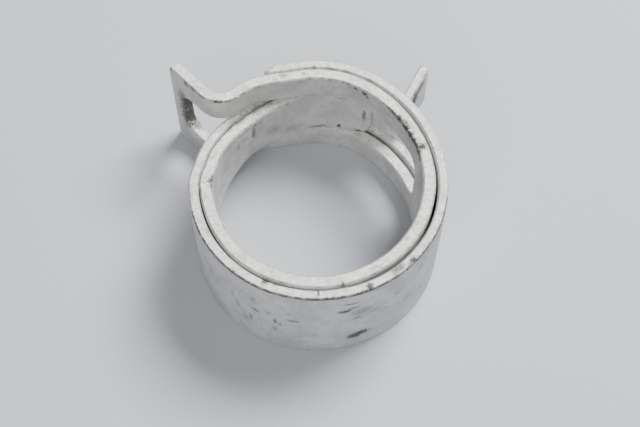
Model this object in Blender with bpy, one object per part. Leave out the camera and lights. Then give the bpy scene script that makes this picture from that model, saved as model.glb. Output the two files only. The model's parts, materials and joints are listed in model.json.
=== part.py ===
"""Spring band hose clamp, made of two nested bands of coated spring steel.

The outer band runs from its narrow tang, through a tongue, once round the ring, and ends in two
prongs that lie over the tongue. The inner band runs from its tongue's free end once round the
ring, and ends in two rails that bend outward into the windowed tang. Both tongues pass through
the windows, so squeezing the tangs together opens the ring.

A band flexes along its whole length. Here each band is cut into short stiff lengths, which are
hinged to each other round the ring. Angles are in degrees, anticlockwise seen from above, and
they keep counting past 360 where a band overlaps itself.
"""

import math

import bmesh
import bpy

# Ring: outer face of the relaxed outer band, slightly out of round
RING_RADIUS = 0.01544
RING_OVAL = 0.029
RING_OVAL_SKEW = 0.004
RING_EGG = 0.005
RING_EGG_SKEW = 0.0095

# Bands
BAND_HEIGHT = 0.015
OUTER_THICKNESS = 0.0012
INNER_THICKNESS = 0.00145
LAYER_GAP = 0.0003
CUT_GAP = 0.0003

# Tongues: how far each edge is drawn in, first quickly over the shoulder, then in a slow taper
SHOULDER_INSET = 0.00275
SHOULDER_START = 166
SHOULDER_END = 190
TAPER_INSET = 0.00125
TAPER_START = 128
TAPER_END = 168
INNER_TONGUE_END = 63.5
TONGUE_CORNER = 0.0015

# Windows, and the rails above and below them
WINDOW_LOW = 0.0037
WINDOW_HIGH = BAND_HEIGHT - WINDOW_LOW
WINDOW_START = 376
WINDOW_CORNER = 0.0018

# The tongues dip inward where they enter the windows and rise through them further on
TONGUE_DIP = -0.0006
TONGUE_RISE = 0.00145
DIP_START = 170
DIP_BOTTOM = 120
RISE_END = 50

# The outer band's prongs, whose free ends stand slightly proud
PRONG_END = 473
PRONG_CORNER = 0.0008
PRONG_FLARE = 0.0003
PRONG_FLARE_START = 453
PRONG_FLARE_END = 470

# Past the prongs the inner band's rails move outward, towards their tang
RAIL_LIFT = 0.00145
RAIL_LIFT_START = 465
RAIL_LIFT_END = 490

# Tangs: tip centre, direction from the ring to the tip, and bend radius of the band's middle
WINDOWED_TIP = (-0.01778, 0.01518)
WINDOWED_DIRECTION = 134.8
WINDOWED_BEND = 0.0028
WINDOWED_BEND_SEARCH = (480, 500)
CROSSBAR_WIDTH = 0.0021
NARROW_TIP = (0.0132, 0.01826)
NARROW_DIRECTION = 64
NARROW_BEND = 0.0013
NARROW_BEND_SEARCH = (48, 70)
TANG_CORNER = 0.0005

# Where the bands are cut into stiff lengths, from the front outward
LEFT_CUTS = {
    "left_front": 240,
    "left_shoulder": 195,
    "tongue_root": 152,
    "tongue_middle": 112,
    "narrow_tang_end": 76,
}
RIGHT_CUTS = {
    "right_front": 300,
    "window_start": 345,
    "near_rails": 390,
    "far_rails": 430,
    "windowed_tang_end": 470,
}
ALL_CUTS = {**LEFT_CUTS, **RIGHT_CUTS}

# Coating of each band
OUTER_COLOUR = (0.56, 0.56, 0.53)
INNER_COLOUR = (0.58, 0.57, 0.53)
COATING_ROUGHNESS = 0.55
COATING_METALLIC = 0.35

# Fineness of the shapes
RING_STEP = 3
BEND_STEP = 12
CORNER_STEPS = 4
SLOPE_STEP = 0.01
SEARCH_ROUNDS = 60
SHORTEST_STEP = 0.00005
SHARP_ANGLE = 35
CUTTER_MARGIN = 0.0015
CUTTER_THICKNESS = 0.004


def ease(x, start, end):
    """0 on start's side, 1 on end's side, and a smooth rise between them."""
    u = min(1.0, max(0.0, (x - start) / (end - start)))
    return u * u * (3 - 2 * u)


def ring_radius(angle):
    """Outer face of the ring at an angle."""
    a = math.radians(angle)
    oval = RING_OVAL * math.cos(2 * a) + RING_OVAL_SKEW * math.sin(2 * a)
    egg = RING_EGG * math.cos(3 * a) - RING_EGG_SKEW * math.sin(3 * a)
    return RING_RADIUS * (1 - oval + egg)


def stack_radius(angle):
    """Outer face of the two layers, with the tongues' dip and rise."""
    dip = TONGUE_DIP * ease(angle, DIP_START, DIP_BOTTOM)
    rise = TONGUE_RISE * ease(angle, DIP_BOTTOM, RISE_END)
    return ring_radius(angle) + dip + rise


def at_angle(radius, angle):
    """The point at that radius and angle."""
    a = math.radians(angle)
    return (radius * math.cos(a), radius * math.sin(a))


def outer_middle(angle):
    """Middle line of the outer band."""
    flare = PRONG_FLARE * ease(angle, PRONG_FLARE_START, PRONG_FLARE_END)
    return at_angle(stack_radius(angle) + flare - OUTER_THICKNESS / 2, angle)


def inner_middle(angle):
    """Middle line of the inner band."""
    lift = RAIL_LIFT * ease(angle, RAIL_LIFT_START, RAIL_LIFT_END)
    inward = OUTER_THICKNESS + LAYER_GAP + INNER_THICKNESS / 2
    return at_angle(stack_radius(angle) + lift - inward, angle)


def outward(line, angle):
    """Unit normal of a band's middle line, pointing away from the ring's axis."""
    ax, ay = line(angle - SLOPE_STEP)
    bx, by = line(angle + SLOPE_STEP)
    length = math.hypot(bx - ax, by - ay)
    return ((by - ay) / length, -(bx - ax) / length)


def bend_centre(line, angle, radius):
    """Centre of a bend that leaves the line outward at that angle."""
    x, y = line(angle)
    nx, ny = outward(line, angle)
    return (x + radius * nx, y + radius * ny)


def find_bend(line, search, tip, direction, radius, side):
    """Angle where a bend onto the tang's straight line starts. Side is 1 where the bend's centre
    is on the right of the tang, seen from the ring to the tip, and -1 on its left."""
    d = math.radians(direction)
    right = (math.sin(d), -math.cos(d))

    def miss(angle):
        cx, cy = bend_centre(line, angle, radius)
        across = (cx - tip[0]) * right[0] + (cy - tip[1]) * right[1]
        return side * across - radius

    low, high = search
    for _ in range(SEARCH_ROUNDS):
        middle = (low + high) / 2
        if (miss(low) > 0) == (miss(middle) > 0):
            low = middle
        else:
            high = middle
    return (low + high) / 2


def tang_points(line, start, tip, direction, radius, side):
    """Points of the bend after its start, then of the straight tang up to its tip."""
    cx, cy = bend_centre(line, start, radius)
    px, py = line(start)
    first = math.degrees(math.atan2(py - cy, px - cx))
    last = direction + 90 * side
    turn = (last - first + 180) % 360 - 180
    count = max(2, round(abs(turn) / BEND_STEP))
    points = []
    for i in range(1, count + 1):
        a = math.radians(first + turn * i / count)
        points.append((cx + radius * math.cos(a), cy + radius * math.sin(a)))
    return points + [tip]


class Path:
    """A band's middle line as points, with the length along it and its outward normals."""

    def __init__(self, points, angles, thickness):
        self.points = points
        self.angles = angles
        self.thickness = thickness
        self.lengths = [0.0]
        for a, b in zip(points, points[1:]):
            self.lengths.append(self.lengths[-1] + math.dist(a, b))
        self.normals = [self._normal(i) for i in range(len(points))]

    def _normal(self, i):
        before = self._side(max(i - 1, 0))
        after = self._side(min(i, len(self.points) - 2))
        x, y = before[0] + after[0], before[1] + after[1]
        length = math.hypot(x, y)
        return (x / length, y / length)

    def _side(self, i):
        (ax, ay), (bx, by) = self.points[i], self.points[i + 1]
        length = math.dist((ax, ay), (bx, by))
        return ((by - ay) / length, -(bx - ax) / length)

    def length_at(self, angle):
        """Length along the path where the ring reaches that angle."""
        known = [(a, s) for a, s in zip(self.angles, self.lengths) if a is not None]
        for (a0, s0), (a1, s1) in zip(known, known[1:]):
            if a0 <= angle <= a1:
                return s0 + (s1 - s0) * (angle - a0) / (a1 - a0)
        raise ValueError(f"the path doesn't reach {angle} degrees")

    def after(self, angle):
        """Length just past a cut, on its far side anticlockwise."""
        return self.length_at(angle) + CUT_GAP / 2

    def before(self, angle):
        """Length just short of a cut."""
        return self.length_at(angle) - CUT_GAP / 2

    def place(self, length):
        """Point and outward normal at a length along the path."""
        last = len(self.lengths) - 2
        i = 0
        while i < last and length > self.lengths[i + 1]:
            i += 1
        u = (length - self.lengths[i]) / (self.lengths[i + 1] - self.lengths[i])
        pair = self.points[i], self.points[i + 1]
        point = tuple(a + (b - a) * u for a, b in zip(*pair))
        if u <= 0 or u >= 1:
            return point, self.normals[i if u <= 0 else i + 1]
        pair = self.normals[i], self.normals[i + 1]
        nx, ny = (a + (b - a) * u for a, b in zip(*pair))
        size = math.hypot(nx, ny)
        return point, (nx / size, ny / size)

    def stations(self, start, end, extra):
        """Lengths from start to end at which a swept piece has a cross-section."""
        between = [s for s in [*self.lengths, *extra] if start < s < end]
        kept = [start]
        for s in sorted(between):
            if s - kept[-1] > SHORTEST_STEP and end - s > SHORTEST_STEP:
                kept.append(s)
        return kept + [end]


def ring_angles(start, end):
    """Angles from start to end in even steps of about RING_STEP."""
    count = math.ceil((end - start) / RING_STEP)
    return [start + (end - start) * i / count for i in range(count + 1)]


def outer_path():
    """From the narrow tang's tip round the ring to the prongs' ends."""
    shape = (NARROW_TIP, NARROW_DIRECTION, NARROW_BEND, -1)
    bend = find_bend(outer_middle, NARROW_BEND_SEARCH, *shape)
    tang = tang_points(outer_middle, bend, *shape)[::-1]
    angles = ring_angles(bend, PRONG_END)
    points = tang + [outer_middle(a) for a in angles]
    return Path(points, [None] * len(tang) + angles, OUTER_THICKNESS)


def inner_path():
    """From the inner tongue's free end round the ring to the windowed tang's tip."""
    shape = (WINDOWED_TIP, WINDOWED_DIRECTION, WINDOWED_BEND, 1)
    bend = find_bend(inner_middle, WINDOWED_BEND_SEARCH, *shape)
    tang = tang_points(inner_middle, bend, *shape)
    angles = ring_angles(INNER_TONGUE_END, bend)
    points = [inner_middle(a) for a in angles] + tang
    return Path(points, angles + [None] * len(tang), INNER_THICKNESS)


def corner_stations(end, radius, inward):
    """Lengths of the cross-sections that round a corner off. Inward is 1 or -1 along the path."""
    steps = [math.pi / 2 * i / CORNER_STEPS for i in range(1, CORNER_STEPS + 1)]
    return [end + inward * radius * (1 - math.cos(a)) for a in steps]


def corner_inset(length, end, radius):
    """How far a rounded corner draws the edge in at a length along the path."""
    distance = abs(length - end)
    if distance >= radius:
        return 0.0
    return radius - math.sqrt(radius**2 - (radius - distance) ** 2)


def sweep(path, start, end, low, high, thickness, extra=()):
    """A closed solid swept along the path between the heights low(length) and high(length)."""
    mesh = bmesh.new()
    half = thickness / 2
    rows = []
    for s in path.stations(start, end, extra):
        (x, y), (nx, ny) = path.place(s)
        corners = [(-half, low(s)), (half, low(s)), (half, high(s)), (-half, high(s))]
        rows.append([mesh.verts.new((x + n * nx, y + n * ny, z)) for n, z in corners])
    for a, b in zip(rows, rows[1:]):
        for i in range(len(a)):
            j = (i + 1) % len(a)
            mesh.faces.new((a[i], a[j], b[j], b[i]))
    mesh.faces.new(rows[0])
    mesh.faces.new(rows[-1][::-1])
    bmesh.ops.recalc_face_normals(mesh, faces=mesh.faces)
    return mesh


def mirrored_sweep(path, start, end, inset, thickness, extra=()):
    """A solid whose two edges are both drawn in from the band's full height by inset(length)."""
    def high(s):
        return BAND_HEIGHT - inset(s)

    return sweep(path, start, end, inset, high, thickness, extra)


def plain_length(path, start, end):
    """A length of band of the full height."""
    def no_inset(s):
        return 0.0

    return mirrored_sweep(path, start, end, no_inset, path.thickness)


def tongue_inset(path, s):
    """How far a tongue's edge is drawn in at a length along the path."""
    lengths = [path.length_at(a) for a in (SHOULDER_START, SHOULDER_END, TAPER_START, TAPER_END)]
    shoulder_start, shoulder_end, taper_start, taper_end = lengths
    shoulder = SHOULDER_INSET * ease(s, shoulder_end, shoulder_start)
    return shoulder + TAPER_INSET * ease(s, taper_end, taper_start)


def tongue(path, start, end):
    """A length of tongue, which widens to the full height over its shoulder."""
    def inset(s):
        return tongue_inset(path, s)

    return mirrored_sweep(path, start, end, inset, path.thickness)


def tongue_tip(path, end, radius):
    """The path's first length, a tongue whose free end has rounded corners."""
    def inset(s):
        return tongue_inset(path, s) + corner_inset(s, 0.0, radius)

    corners = corner_stations(0.0, radius, 1)
    return mirrored_sweep(path, 0.0, end, inset, path.thickness, corners)


def rail(path, start, end, upper):
    """A length of the rail above or below the window."""
    def low(s):
        return WINDOW_HIGH if upper else 0.0

    def high(s):
        return BAND_HEIGHT if upper else WINDOW_LOW

    return sweep(path, start, end, low, high, path.thickness)


def prong(path, start, upper):
    """A rail that ends free, with small rounded corners."""
    end = path.lengths[-1]

    def inset(s):
        return corner_inset(s, end, PRONG_CORNER)

    def low(s):
        return (WINDOW_HIGH if upper else 0.0) + inset(s)

    def high(s):
        return (BAND_HEIGHT if upper else WINDOW_LOW) - inset(s)

    corners = corner_stations(end, PRONG_CORNER, -1)
    return sweep(path, start, end, low, high, path.thickness, corners)


def window_cutter(path, start, end, round_end, inward):
    """A block that cuts the window between two lengths, with rounded corners at one end."""
    def inset(s):
        return WINDOW_LOW + corner_inset(s, round_end, WINDOW_CORNER)

    corners = corner_stations(round_end, WINDOW_CORNER, inward)
    return mirrored_sweep(path, start, end, inset, CUTTER_THICKNESS, corners)


def tang_plate(path, start):
    """The full height band up to the windowed tang's rounded tip."""
    tip = path.lengths[-1]

    def inset(s):
        return corner_inset(s, tip, TANG_CORNER)

    corners = corner_stations(tip, TANG_CORNER, -1)
    return mirrored_sweep(path, start, tip, inset, path.thickness, corners)


def coating(name, colour):
    """Material of one band: spring steel under a pale zinc flake coating."""
    material = bpy.data.materials.new(name)
    material.use_nodes = True
    shader = material.node_tree.nodes["Principled BSDF"]
    shader.inputs["Base Color"].default_value = (*colour, 1)
    shader.inputs["Roughness"].default_value = COATING_ROUGHNESS
    shader.inputs["Metallic"].default_value = COATING_METALLIC
    return material


def clear_scene():
    """Removes every object of the open file."""
    for thing in list(bpy.data.objects):
        bpy.data.objects.remove(thing)


def pivot(angle):
    """Hinge axis at a cut: the middle of the two layers."""
    depth = (OUTER_THICKNESS + LAYER_GAP + INNER_THICKNESS) / 2
    return at_angle(stack_radius(angle) - depth, angle)


def body_place(body):
    """World place of a body's hinge axis. The front doesn't turn, so it is placed at the origin."""
    return pivot(ALL_CUTS[body]) if body in ALL_CUTS else (0.0, 0.0)


def add_pivots():
    """One empty on each hinge axis, each the parent of the next one out from the front."""
    empties = {}
    for order in (["front", *LEFT_CUTS], ["front", *RIGHT_CUTS]):
        parent, place = None, (0.0, 0.0)
        for body in order:
            if body not in empties:
                empties[body] = bpy.data.objects.new(body + "_pivot", None)
                bpy.context.collection.objects.link(empties[body])
            here = body_place(body)
            empties[body].parent = parent
            empties[body].location = (here[0] - place[0], here[1] - place[1], 0.0)
            parent, place = empties[body], here
    return empties


class Maker:
    """Makes one band's objects on their bodies, in the band's material."""

    def __init__(self, band, path, empties, material):
        self.band = band
        self.path = path
        self.empties = empties
        self.material = material

    def add(self, name, mesh, body):
        """Makes an object of the mesh, with its origin on its body's hinge axis."""
        x, y = body_place(body)
        bmesh.ops.translate(mesh, verts=mesh.verts, vec=(-x, -y, 0.0))
        data = bpy.data.meshes.new(name)
        mesh.to_mesh(data)
        mesh.free()
        data.materials.append(self.material)
        data.shade_smooth()
        data.set_sharp_from_angle(angle=math.radians(SHARP_ANGLE))
        thing = bpy.data.objects.new(name, data)
        thing.parent = self.empties[body]
        bpy.context.collection.objects.link(thing)
        return thing

    def cut_window(self, thing, mesh, body):
        """Cuts the window out of an object with a Boolean."""
        cutter = self.add(thing.name + "_cutter", mesh, body)
        cutter.hide_render = True
        cutter.display_type = "WIRE"
        modifier = thing.modifiers.new("window", "BOOLEAN")
        modifier.operation = "DIFFERENCE"
        modifier.solver = "EXACT"
        modifier.object = cutter

    def add_plain_lengths(self):
        """The lengths of full height round the ring's front."""
        spans = {
            "front": ("left_front", "right_front"),
            "left_front": ("left_shoulder", "left_front"),
            "right_front": ("right_front", "window_start"),
        }
        for body, (first, last) in spans.items():
            start = self.path.after(ALL_CUTS[first])
            end = self.path.before(ALL_CUTS[last])
            mesh = plain_length(self.path, start, end)
            self.add(f"{self.band}_band_{body}", mesh, body)

    def add_tongue_lengths(self):
        """The shoulder, where the band narrows, and the tongue's lengths up to its last one."""
        spans = {
            "left_shoulder": ("tongue_root", f"{self.band}_band_left_shoulder"),
            "tongue_root": ("tongue_middle", f"{self.band}_tongue_root"),
            "tongue_middle": ("narrow_tang_end", f"{self.band}_tongue_middle"),
        }
        for body, (further, name) in spans.items():
            start = self.path.after(ALL_CUTS[further])
            end = self.path.before(ALL_CUTS[body])
            self.add(name, tongue(self.path, start, end), body)

    def add_tongue_tip(self, name, radius):
        """The tongue's last length, with its free end."""
        body = "narrow_tang_end"
        end = self.path.before(ALL_CUTS[body])
        self.add(name, tongue_tip(self.path, end, radius), body)

    def add_window_start(self):
        """The length in which the band splits into two rails."""
        body = "window_start"
        start = self.path.after(ALL_CUTS[body])
        end = self.path.before(ALL_CUTS["near_rails"])
        mesh = plain_length(self.path, start, end)
        thing = self.add(f"{self.band}_band_{body}", mesh, body)
        edge = self.path.length_at(WINDOW_START)
        cutter = window_cutter(self.path, edge, end + CUTTER_MARGIN, edge, 1)
        self.cut_window(thing, cutter, body)

    def add_rails(self, body, next_body, place):
        """The two rails of one length, above and below the window."""
        start = self.path.after(ALL_CUTS[body])
        end = self.path.before(ALL_CUTS[next_body])
        for level in ("upper", "lower"):
            mesh = rail(self.path, start, end, level == "upper")
            self.add(f"{self.band}_{level}_rail_{place}", mesh, body)

    def add_prongs(self):
        """The two prongs at the outer band's end."""
        body = "far_rails"
        start = self.path.after(ALL_CUTS[body])
        for level in ("upper", "lower"):
            mesh = prong(self.path, start, level == "upper")
            self.add(f"{self.band}_{level}_prong", mesh, body)

    def add_windowed_tang(self):
        """The tang at the inner band's end, with its window and crossbar."""
        body = "windowed_tang_end"
        start = self.path.after(ALL_CUTS[body])
        thing = self.add("windowed_tang", tang_plate(self.path, start), body)
        edge = self.path.lengths[-1] - CROSSBAR_WIDTH
        cutter = window_cutter(self.path, start - CUTTER_MARGIN, edge, edge, -1)
        self.cut_window(thing, cutter, body)


def add_outer_band(empties):
    """Outer band: narrow tang, tongue, ring and prongs."""
    material = coating("outer_band_coating", OUTER_COLOUR)
    maker = Maker("outer", outer_path(), empties, material)
    maker.add_plain_lengths()
    maker.add_tongue_lengths()
    maker.add_tongue_tip("narrow_tang", TANG_CORNER)
    maker.add_window_start()
    maker.add_rails("near_rails", "far_rails", "near")
    maker.add_prongs()


def add_inner_band(empties):
    """Inner band: tongue, ring, rails and windowed tang."""
    material = coating("inner_band_coating", INNER_COLOUR)
    maker = Maker("inner", inner_path(), empties, material)
    maker.add_plain_lengths()
    maker.add_tongue_lengths()
    maker.add_tongue_tip("inner_tongue_tip", TONGUE_CORNER)
    maker.add_window_start()
    maker.add_rails("near_rails", "far_rails", "near")
    maker.add_rails("far_rails", "windowed_tang_end", "far")
    maker.add_windowed_tang()


def main():
    clear_scene()
    empties = add_pivots()
    add_outer_band(empties)
    add_inner_band(empties)
    bpy.context.view_layer.update()


main()
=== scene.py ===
"""Looks of the spring band hose clamp: two nested strips of coated spring steel.

Each strip is drawn flat, as long as it really is, with its windows, tongue and rounded edges.
It is then bent along its path round the ring and sliced where the stiff lengths' middles are, so
that every piece spans exactly one hinge. Angles are in degrees, anticlockwise seen from
above, and keep counting past 360 where a strip overlaps itself.
"""

import json
import math

import bmesh
import bpy
from mathutils import Matrix, Vector, noise


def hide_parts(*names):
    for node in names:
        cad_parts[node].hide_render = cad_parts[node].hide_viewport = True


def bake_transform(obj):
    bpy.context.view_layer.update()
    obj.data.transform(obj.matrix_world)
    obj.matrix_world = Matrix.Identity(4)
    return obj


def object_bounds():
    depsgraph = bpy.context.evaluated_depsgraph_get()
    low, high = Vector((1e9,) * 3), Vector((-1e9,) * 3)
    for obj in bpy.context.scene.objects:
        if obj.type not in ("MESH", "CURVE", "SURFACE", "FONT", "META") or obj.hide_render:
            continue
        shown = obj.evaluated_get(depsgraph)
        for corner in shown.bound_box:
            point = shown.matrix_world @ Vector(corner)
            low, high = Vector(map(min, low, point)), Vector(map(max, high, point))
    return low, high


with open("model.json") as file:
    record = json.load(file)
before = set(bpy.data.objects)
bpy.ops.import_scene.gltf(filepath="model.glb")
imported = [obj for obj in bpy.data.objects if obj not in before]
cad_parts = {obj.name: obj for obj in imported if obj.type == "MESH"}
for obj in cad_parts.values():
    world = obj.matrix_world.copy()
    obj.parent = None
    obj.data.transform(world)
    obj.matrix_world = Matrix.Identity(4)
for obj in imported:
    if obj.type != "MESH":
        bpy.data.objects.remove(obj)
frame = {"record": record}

cad_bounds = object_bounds()

# Millimetres in a metre, the script's unit
MM = 1000

# Ring and layers, as the design has them, but for an inner strip that is 0.03 mm thicker
RING_RADIUS = 0.01544
RING_OVAL = 0.029
RING_OVAL_SKEW = 0.004
RING_EGG = 0.005
RING_EGG_SKEW = 0.0095
BAND_HEIGHT = 0.015
OUTER_THICKNESS = 0.0012
OUTER_HALF = OUTER_THICKNESS / 2
INNER_THICKNESS = 0.00148

# The layers' gap: closest at the far side, widest at the front right
FRONT_GAP = 0.00024
FAR_GAP = 0.00006
RIGHT_GAP = 0.00014
TONGUE_CLOSING = (205, 184)
RAIL_CLOSING = (400, 440)
RIGHT_WIDENING = (275, 310)
RIGHT_NARROWING = (330, 370)

# Tongues
SHOULDER_INSET = 0.00275
SHOULDER_START = 166
SHOULDER_END = 190
TAPER_INSET = 0.00125
TAPER_START = 128
TAPER_END = 168
INNER_TONGUE_END = 63.5
TONGUE_CORNER = 0.0015
TONGUE_DIP = -0.0006
TONGUE_RISE = 0.00145
DIP_START = 170
DIP_BOTTOM = 120
RISE_END = 50

# Windows, rails and prongs. The prongs end 2 degrees later than in the design, and the rails swing
# outward over a slightly longer stretch
WINDOW_LOW = 0.0037
WINDOW_START = 376
WINDOW_CORNER = 0.0018
PRONG_END = 475
PRONG_CORNER = 0.0008
PRONG_TAPER = 0.0018
PRONG_TIP_LOSS = 0.00055
LOWER_BULGE = 0.00026
LOWER_BULGE_RISE = (376, 400)
LOWER_BULGE_FALL = (450, 425)
RAIL_LIFT = 0.00142
RAIL_LIFT_START = 462
RAIL_LIFT_END = 491

# Tangs
WINDOWED_TIP = (-0.01778, 0.01518)
WINDOWED_DIRECTION = 134.8
WINDOWED_BEND = 0.0028
WINDOWED_BEND_SEARCH = (480, 500)
CROSSBAR_WIDTH = 0.0021
NARROW_TIP = (0.0132, 0.01826)
NARROW_DIRECTION = 64
NARROW_BEND = 0.0013
NARROW_BEND_SEARCH = (48, 70)
TANG_CORNER = 0.0005

# Hinges from the front outward, and the strips' ends in degrees
LEFT_CUTS = {
    "left_front": 240,
    "left_shoulder": 195,
    "tongue_root": 152,
    "tongue_middle": 112,
    "narrow_tang_end": 76,
}
RIGHT_CUTS = {
    "right_front": 300,
    "window_start": 345,
    "near_rails": 390,
    "far_rails": 430,
    "windowed_tang_end": 470,
}
LEFT_LAST = 56
RIGHT_LAST = 490
BODIES = [*reversed(LEFT_CUTS), "front", *RIGHT_CUTS]
FRONT = BODIES.index("front")

# The pieces of each strip, each named for the length that it stands for
OUTER_PIECES = ["narrow_tang", "tongue_middle", "tongue_root", "left_shoulder", "left_front",
                "right_front", "window_start", "near_rails", "prongs"]
INNER_PIECES = ["tongue_tip", "tongue_middle", "tongue_root", "left_shoulder", "left_front",
                "right_front", "window_start", "near_rails", "far_rails", "windowed_tang"]

# Fineness of the shapes
RING_STEP = 1.0
BEND_STEP = 4.0
TANG_STEP = 0.0008
SHOULDER_STEP = 0.5
CORNER_STEPS = 6
HEIGHT_STEP = 0.0015
EDGE_ROUNDING = 0.00024
EDGE_SEGMENTS = 3
SHORTEST_STEP = 0.00006
SAME_PLACE = 1e-7
SLOPE_STEP = 0.01
SEARCH_ROUNDS = 60

# How squarely a face must look across the strip to be one of its two wide ones
WIDE_FACE = 0.5

# Unevenness of the surface
WAVE_SIZE = 0.004
WAVE_DEPTH = 0.00005
NICK_SIZE = 0.0006
NICK_DEPTH = 0.00011
DENT_DEPTH = 0.00006
DENT_STRENGTH = 0.8


# ---------------------------------------------------------------- the strips' paths

def ease(x, start, end):
    """0 on start's side, 1 on end's side, and a smooth rise between them."""
    u = min(1.0, max(0.0, (x - start) / (end - start)))
    return u * u * (3 - 2 * u)


def stack_radius(angle):
    """Radius of the outer strip's outer face, with the tongues' dip and rise."""
    a = math.radians(angle)
    oval = RING_OVAL * math.cos(2 * a) + RING_OVAL_SKEW * math.sin(2 * a)
    egg = RING_EGG * math.cos(3 * a) - RING_EGG_SKEW * math.sin(3 * a)
    dip = TONGUE_DIP * ease(angle, DIP_START, DIP_BOTTOM)
    rise = TONGUE_RISE * ease(angle, DIP_BOTTOM, RISE_END)
    return RING_RADIUS * (1 - oval + egg) + dip + rise


def layer_gap(angle):
    """Gap between the two layers."""
    closing = max(ease(angle, *TONGUE_CLOSING), ease(angle, *RAIL_CLOSING))
    widening = ease(angle, *RIGHT_WIDENING) * (1 - ease(angle, *RIGHT_NARROWING))
    return FRONT_GAP + (FAR_GAP - FRONT_GAP) * closing + RIGHT_GAP * widening


def at_angle(radius, angle):
    """The point at that radius and angle."""
    a = math.radians(angle)
    return (radius * math.cos(a), radius * math.sin(a))


def rail_lift(angle):
    """How far the rails have swung outward, and the prongs on them."""
    return RAIL_LIFT * ease(angle, RAIL_LIFT_START, RAIL_LIFT_END)


def outer_middle(angle):
    """Middle line of the outer strip."""
    return at_angle(stack_radius(angle) + rail_lift(angle) - OUTER_HALF, angle)


def inner_middle(angle):
    """Middle line of the inner strip."""
    inward = OUTER_THICKNESS + layer_gap(angle) + INNER_THICKNESS / 2
    return at_angle(stack_radius(angle) + rail_lift(angle) - inward, angle)


def bend_centre(line, angle, radius):
    """Centre of a bend that leaves the line outward at that angle."""
    ax, ay = line(angle - SLOPE_STEP)
    bx, by = line(angle + SLOPE_STEP)
    length = math.hypot(bx - ax, by - ay)
    x, y = line(angle)
    return (x + radius * (by - ay) / length, y - radius * (bx - ax) / length)


def find_bend(line, search, tip, direction, radius, side):
    """Angle where a bend onto the tang's straight line starts. Side is 1 where the bend's centre
    is on the right of the tang, seen from the ring to the tip, and -1 on its left."""
    d = math.radians(direction)
    right = (math.sin(d), -math.cos(d))

    def miss(angle):
        cx, cy = bend_centre(line, angle, radius)
        across = (cx - tip[0]) * right[0] + (cy - tip[1]) * right[1]
        return side * across - radius

    low, high = search
    for _ in range(SEARCH_ROUNDS):
        middle = (low + high) / 2
        if (miss(low) > 0) == (miss(middle) > 0):
            low = middle
        else:
            high = middle
    return (low + high) / 2


def tang_points(line, start, tip, direction, radius, side):
    """Points of the bend after its start, then of the straight tang up to its tip."""
    cx, cy = bend_centre(line, start, radius)
    px, py = line(start)
    first = math.degrees(math.atan2(py - cy, px - cx))
    last = direction + 90 * side
    turn = (last - first + 180) % 360 - 180
    count = max(2, round(abs(turn) / BEND_STEP))
    points = []
    for i in range(1, count + 1):
        a = math.radians(first + turn * i / count)
        points.append((cx + radius * math.cos(a), cy + radius * math.sin(a)))
    straight = math.dist(points[-1], tip)
    steps = round(straight / TANG_STEP)
    end = points[-1]
    for i in range(1, steps + 1):
        points.append(tuple(a + (b - a) * i / steps for a, b in zip(end, tip)))
    return points


class Path:
    """A strip's middle line as points, with the length along it and its outward normals."""

    def __init__(self, points, angles):
        self.points = points
        self.angles = angles
        self.lengths = [0.0]
        for a, b in zip(points, points[1:]):
            self.lengths.append(self.lengths[-1] + math.dist(a, b))
        self.normals = [self._normal(i) for i in range(len(points))]

    def _normal(self, i):
        ax, ay = self.points[max(i - 1, 0)]
        bx, by = self.points[min(i + 1, len(self.points) - 1)]
        length = math.dist((ax, ay), (bx, by))
        return ((by - ay) / length, -(bx - ax) / length)

    def length_at(self, angle):
        """Length along the path where the ring reaches that angle."""
        known = [(a, s) for a, s in zip(self.angles, self.lengths) if a is not None]
        for (a0, s0), (a1, s1) in zip(known, known[1:]):
            if a0 <= angle <= a1:
                return s0 + (s1 - s0) * (angle - a0) / (a1 - a0)
        raise ValueError(f"the path doesn't reach {angle} degrees")

    def place(self, length):
        """Point and outward normal at a length along the path."""
        low, high = 0, len(self.lengths) - 1
        while high - low > 1:
            middle = (low + high) // 2
            if self.lengths[middle] <= length:
                low = middle
            else:
                high = middle
        u = (length - self.lengths[low]) / (self.lengths[high] - self.lengths[low])
        pair = self.points[low], self.points[high]
        point = tuple(a + (b - a) * u for a, b in zip(*pair))
        pair = self.normals[low], self.normals[high]
        nx, ny = (a + (b - a) * u for a, b in zip(*pair))
        size = math.hypot(nx, ny)
        return point, (nx / size, ny / size)


def ring_angles(start, end):
    """Angles from start to end in even steps of about RING_STEP."""
    count = math.ceil((end - start) / RING_STEP)
    return [start + (end - start) * i / count for i in range(count + 1)]


def outer_path():
    """From the narrow tang's tip round the ring to the prongs' ends."""
    shape = (NARROW_TIP, NARROW_DIRECTION, NARROW_BEND, -1)
    bend = find_bend(outer_middle, NARROW_BEND_SEARCH, *shape)
    tang = tang_points(outer_middle, bend, *shape)[::-1]
    angles = ring_angles(bend, PRONG_END)
    points = tang + [outer_middle(a) for a in angles]
    return Path(points, [None] * len(tang) + angles)


def inner_path():
    """From the inner tongue's free end round the ring to the windowed tang's tip."""
    shape = (WINDOWED_TIP, WINDOWED_DIRECTION, WINDOWED_BEND, 1)
    bend = find_bend(inner_middle, WINDOWED_BEND_SEARCH, *shape)
    tang = tang_points(inner_middle, bend, *shape)
    angles = ring_angles(INNER_TONGUE_END, bend)
    points = [inner_middle(a) for a in angles] + tang
    return Path(points, angles + [None] * len(tang))


# ---------------------------------------------------------------- the flat strips

def arc(centre, radius, start, end):
    """Points of a corner's circle between two directions."""
    cx, cy = centre
    points = []
    for i in range(CORNER_STEPS + 1):
        a = math.radians(start + (end - start) * i / CORNER_STEPS)
        points.append((cx + radius * math.cos(a), cy + radius * math.sin(a)))
    return points


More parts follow.
